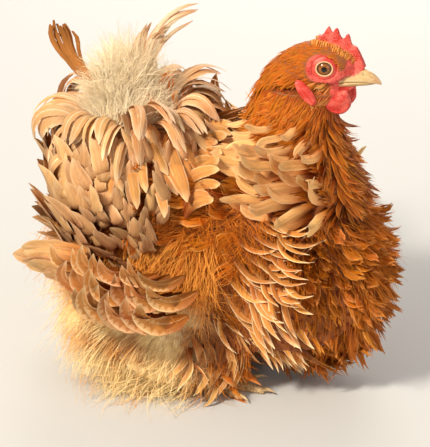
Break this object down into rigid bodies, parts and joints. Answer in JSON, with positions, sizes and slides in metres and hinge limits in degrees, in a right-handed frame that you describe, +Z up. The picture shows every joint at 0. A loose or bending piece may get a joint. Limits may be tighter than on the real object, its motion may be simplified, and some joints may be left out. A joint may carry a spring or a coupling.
{
  "type": "frizzled pekin bantam hen model",
  "caption": "Standing bantam hen with curled buff feathers, single comb, red wattles, short tail and feathered feet.",
  "frame": {"origin": "floor level under the middle of the bounding box", "axes": "+X the way the hen looks, +Y its left side, +Z up"},
  "size_m": [0.2556, 0.2088, 0.2386],
  "materials": {
    "head_feathers": "short soft orange buff feathers",
    "hackle_feathers": "satiny orange tan feathers",
    "body_feathers": "curled buff feathers with pale edges",
    "tail_feathers": "pale cream curled feathers",
    "wing_feathers": "dark orange feathers with pale rims",
    "down": "loose cream fluff",
    "foot_scales": "yellow horn scales under buff feathers",
    "claw_horn": "smooth pale horn",
    "bill_horn": "smooth yellow horn",
    "eye": "wet amber iris with black pupil",
    "red_skin": "bare wrinkled red skin"
  },
  "bodies": {
    "root": {"claw_left_1": "claw_horn", "claw_left_2": "claw_horn", "claw_left_3": "claw_horn", "claw_left_4": "claw_horn", "claw_right_1": "claw_horn", "claw_right_2": "claw_horn", "claw_right_3": "claw_horn", "claw_right_4": "claw_horn", "comb": "red_skin", "ear_lobe_left": "red_skin", "ear_lobe_right": "red_skin", "eye_left": "eye", "eye_right": "eye", "foot_left": "foot_scales", "foot_right": "foot_scales", "head": "head_feathers", "lower_bill": "bill_horn", "neck": "hackle_feathers", "tail": "tail_feathers", "thigh_left": "down", "thigh_right": "down", "torso": "body_feathers", "upper_bill": "bill_horn", "wattle_left": "red_skin", "wattle_right": "red_skin", "wing_left": "wing_feathers", "wing_right": "wing_feathers"}
  },
  "joints": []
}
